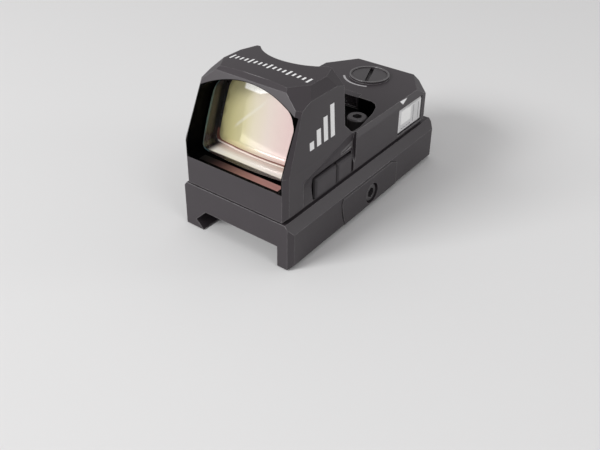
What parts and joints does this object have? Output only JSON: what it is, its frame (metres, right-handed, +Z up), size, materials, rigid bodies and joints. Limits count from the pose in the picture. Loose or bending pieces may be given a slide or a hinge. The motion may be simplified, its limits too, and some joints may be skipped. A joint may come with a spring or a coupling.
{
  "type": "red dot finder",
  "caption": "Compact open red dot finder with a hooded reflex lens, adjuster screws, brightness keys, battery drawer and a dovetail rail clamp.",
  "frame": {"origin": "middle of the flat face that rests on the rail, half way along the base", "axes": "+Y along the line of sight towards the eye (the hooded lens end faces -Y), +Z up, +X to the side of the keys and the clamping jaw"},
  "size_m": [0.0292, 0.0572, 0.0357],
  "materials": {
    "anodised": "satin hard-anodised, fine blasted grain",
    "black_steel": "black oxide, lightly worn",
    "steel": "bright",
    "silver_alloy": "satin silver",
    "coated_glass": "polished, amber and pink reflective coating",
    "clear_window": "polished",
    "sealant": "smooth",
    "black_rubber": "matte",
    "brass_parts": "machined",
    "circuit_board": "solder mask",
    "chip_plastic": "moulded",
    "amber_film": "smooth film",
    "red_emitter": "clear moulded",
    "cell_steel": "polished"
  },
  "bodies": {
    "frame": {"housing": "anodised", "rail_base": "anodised", "mounting_screws": "black_steel", "guide_pins": "steel", "clamp_springs": "steel", "locating_pins": "steel", "elevation_spring": "steel", "click_plungers": "steel", "board_screws": "steel", "tray_mark": "silver_alloy", "lens_front": "coated_glass", "lens_rear": "coated_glass", "emitter_window": "clear_window", "lens_bond": "sealant", "base_gasket": "black_rubber", "key_membrane": "black_rubber", "contact_positive": "brass_parts", "contact_negative": "brass_parts", "main_board": "circuit_board", "switch_board": "circuit_board", "board_chips": "chip_plastic", "key_switches": "chip_plastic", "emitter_flex": "amber_film"},
    "clamp": {"clamp_jaw": "anodised"},
    "bolt": {"clamp_bolt": "black_steel", "bolt_clip": "steel"},
    "elevation": {"elevation_screw": "black_steel", "elevation_seal": "black_rubber"},
    "slider": {"elevation_slider": "brass_parts"},
    "windage": {"windage_screw": "black_steel", "windage_seal": "black_rubber"},
    "carriage": {"emitter_carriage": "brass_parts", "led_emitter": "red_emitter", "windage_spring": "steel"},
    "tray": {"battery_tray": "silver_alloy", "tray_seal": "black_rubber", "battery": "cell_steel"},
    "key_up": {"key_up": "black_rubber"},
    "key_down": {"key_down": "black_rubber"}
  },
  "joints": [
    {"name": "clamp_slide", "type": "slide", "parent": "frame", "child": "clamp", "axis": [1, 0, 0], "range_m": [0, 0.0024]},
    {"name": "bolt_turn", "type": "hinge", "parent": "clamp", "child": "bolt", "pos_m": [0, 0.0005, -0.0011], "axis": [1, 0, 0], "range_deg": [0, 1236]},
    {"name": "elevation_turn", "type": "hinge", "parent": "frame", "child": "elevation", "pos_m": [0, 0.0208, 0.0145], "axis": [0, 0, 1], "range_deg": [-290, 290]},
    {"name": "slider_lift", "type": "slide", "parent": "frame", "child": "slider", "axis": [0, 0, 1], "range_m": [-0.0004, 0.0004], "deforming": ["elevation_spring"]},
    {"name": "windage_turn", "type": "hinge", "parent": "frame", "child": "windage", "pos_m": [-0.012, 0.0143, 0.0104], "axis": [-1, 0, 0], "range_deg": [-290, 290]},
    {"name": "carriage_shift", "type": "slide", "parent": "slider", "child": "carriage", "axis": [1, 0, 0], "range_m": [-0.0004, 0.0004]},
    {"name": "tray_slide", "type": "slide", "parent": "frame", "child": "tray", "axis": [1, 0, 0], "range_m": [0, 0.0125]},
    {"name": "key_up_press", "type": "slide", "parent": "frame", "child": "key_up", "axis": [-1, 0, 0], "range_m": [0, 0.00035], "stiffness_N_per_m": 1500},
    {"name": "key_down_press", "type": "slide", "parent": "frame", "child": "key_down", "axis": [-1, 0, 0], "range_m": [0, 0.00035], "stiffness_N_per_m": 1500}
  ],
  "couplings": [
    {"joint": "bolt_turn", "follows": "clamp_slide", "rad_per_m": 8976},
    {"joint": "elevation_turn", "follows": "slider_lift", "rad_per_m": -12566},
    {"joint": "windage_turn", "follows": "carriage_shift", "rad_per_m": 12566}
  ]
}
